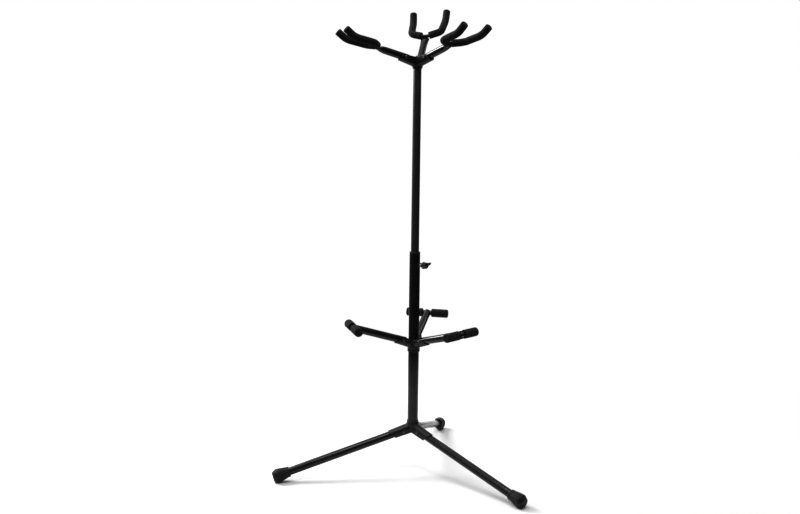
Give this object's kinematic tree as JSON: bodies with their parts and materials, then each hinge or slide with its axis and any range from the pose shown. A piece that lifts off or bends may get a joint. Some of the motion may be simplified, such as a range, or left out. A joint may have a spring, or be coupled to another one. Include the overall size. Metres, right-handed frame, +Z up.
{
  "type": "guitar rack",
  "caption": "Telescopic floor stand on folding tripod legs, with folding foam-padded body rests low on its column and forked neck yokes at its top.",
  "frame": {"origin": "on the floor, under the middle of the stand's outline with its legs spread", "axes": "+Z up along the column, +Y towards the rear leg, +X towards the right of someone who faces +Y"},
  "size_m": [0.6076, 0.5288, 1.1239],
  "materials": {
    "gloss_black_paint": "gloss black powder coat on round steel tube",
    "satin_black_paint": "satin black coat on pressed sheet and bent rod",
    "black_foam": "matte black foam sleeve with fine ribs",
    "black_rubber": "moulded black rubber, slightly soft sheen",
    "black_plastic": "moulded black plastic",
    "plated_steel": "zinc-plated steel"
  },
  "bodies": {
    "column": {"lower_tube": "gloss_black_paint", "tube_end_plug": "black_plastic", "mast_bushing": "black_plastic", "base_hub": "satin_black_paint", "mid_hub": "satin_black_paint", "clamp_boss": "gloss_black_paint", "front_left_leg_rivet": "plated_steel", "front_left_rest_rivet": "plated_steel", "front_right_leg_rivet": "plated_steel", "front_right_rest_rivet": "plated_steel", "rear_leg_rivet": "plated_steel", "rear_rest_rivet": "plated_steel"},
    "front_left_leg": {"front_left_leg": "gloss_black_paint", "front_left_foot": "black_rubber"},
    "front_right_leg": {"front_right_leg": "gloss_black_paint", "front_right_foot": "black_rubber"},
    "rear_leg": {"rear_leg": "gloss_black_paint", "rear_foot": "black_rubber"},
    "front_left_rest": {"front_left_rest_arm": "gloss_black_paint", "front_left_rest_bar": "gloss_black_paint", "front_left_rest_sleeve_left": "black_foam", "front_left_rest_sleeve_right": "black_foam"},
    "front_right_rest": {"front_right_rest_arm": "gloss_black_paint", "front_right_rest_bar": "gloss_black_paint", "front_right_rest_sleeve_left": "black_foam", "front_right_rest_sleeve_right": "black_foam"},
    "rear_rest": {"rear_rest_arm": "gloss_black_paint", "rear_rest_bar": "gloss_black_paint", "rear_rest_sleeve_left": "black_foam", "rear_rest_sleeve_right": "black_foam"},
    "mast_carrier": {"mast_guide": "black_plastic"},
    "mast": {"mast_tube": "gloss_black_paint", "mast_cap": "black_plastic", "top_hub": "satin_black_paint", "front_left_yoke_rivet": "plated_steel", "front_right_yoke_rivet": "plated_steel", "rear_yoke_rivet": "plated_steel"},
    "front_left_yoke": {"front_left_yoke_arm": "gloss_black_paint", "front_left_yoke_rod": "satin_black_paint", "front_left_yoke_foam_left": "black_foam", "front_left_yoke_foam_right": "black_foam"},
    "front_right_yoke": {"front_right_yoke_arm": "gloss_black_paint", "front_right_yoke_rod": "satin_black_paint", "front_right_yoke_foam_left": "black_foam", "front_right_yoke_foam_right": "black_foam"},
    "rear_yoke": {"rear_yoke_arm": "gloss_black_paint", "rear_yoke_rod": "satin_black_paint", "rear_yoke_foam_left": "black_foam", "rear_yoke_foam_right": "black_foam"},
    "clamp_screw": {"clamp_screw": "plated_steel"},
    "clamp_wing": {"clamp_wing": "black_plastic"}
  },
  "joints": [
    {"name": "front_left_leg_fold", "type": "hinge", "parent": "column", "child": "front_left_leg", "pos_m": [-0.02251, -0.09564, 0.10202], "axis": [0.5, -0.866, 0], "range_deg": [0, 66]},
    {"name": "front_right_leg_fold", "type": "hinge", "parent": "column", "child": "front_right_leg", "pos_m": [0.02251, -0.09564, 0.10202], "axis": [0.5, 0.866, 0], "range_deg": [0, 66]},
    {"name": "rear_leg_fold", "type": "hinge", "parent": "column", "child": "rear_leg", "pos_m": [0, -0.05666, 0.10202], "axis": [-1, 0, 0], "range_deg": [0, 66]},
    {"name": "front_left_rest_fold", "type": "hinge", "parent": "column", "child": "front_left_rest", "pos_m": [-0.02327, -0.09608, 0.32848], "axis": [-0.5, 0.866, 0], "range_deg": [0, 65]},
    {"name": "front_right_rest_fold", "type": "hinge", "parent": "column", "child": "front_right_rest", "pos_m": [0.02327, -0.09608, 0.32848], "axis": [-0.5, -0.866, 0], "range_deg": [0, 65]},
    {"name": "rear_rest_fold", "type": "hinge", "parent": "column", "child": "rear_rest", "pos_m": [0, -0.05578, 0.32848], "axis": [1, 0, 0], "range_deg": [-0.7, 64.3]},
    {"name": "mast_slide", "type": "slide", "parent": "column", "child": "mast_carrier", "axis": [0, 0, 1], "range_m": [-0.29, 0.05]},
    {"name": "mast_turn", "type": "hinge", "parent": "mast_carrier", "child": "mast", "pos_m": [0, -0.08265, 0.513], "axis": [0, 0, 1], "continuous": true},
    {"name": "front_left_yoke_fold", "type": "hinge", "parent": "mast", "child": "front_left_yoke", "pos_m": [-0.02579, -0.09754, 0.999], "axis": [-0.5, 0.866, 0], "range_deg": [0, 63]},
    {"name": "front_right_yoke_fold", "type": "hinge", "parent": "mast", "child": "front_right_yoke", "pos_m": [0.02579, -0.09754, 0.999], "axis": [-0.5, -0.866, 0], "range_deg": [-3.5, 60]},
    {"name": "rear_yoke_fold", "type": "hinge", "parent": "mast", "child": "rear_yoke", "pos_m": [0, -0.05286, 0.999], "axis": [1, 0, 0], "range_deg": [-29.2, 33]},
    {"name": "clamp_travel", "type": "slide", "parent": "column", "child": "clamp_screw", "axis": [0.9063, -0.4226, 0], "range_m": [0, 0.0026]},
    {"name": "clamp_turn", "type": "hinge", "parent": "clamp_screw", "child": "clamp_wing", "pos_m": [0, -0.08265, 0.513], "axis": [0.9063, -0.4226, 0], "range_deg": [0, 720]}
  ],
  "couplings": [
    {"joint": "clamp_travel", "follows": "clamp_turn", "m_per_rad": 0.000199}
  ]
}
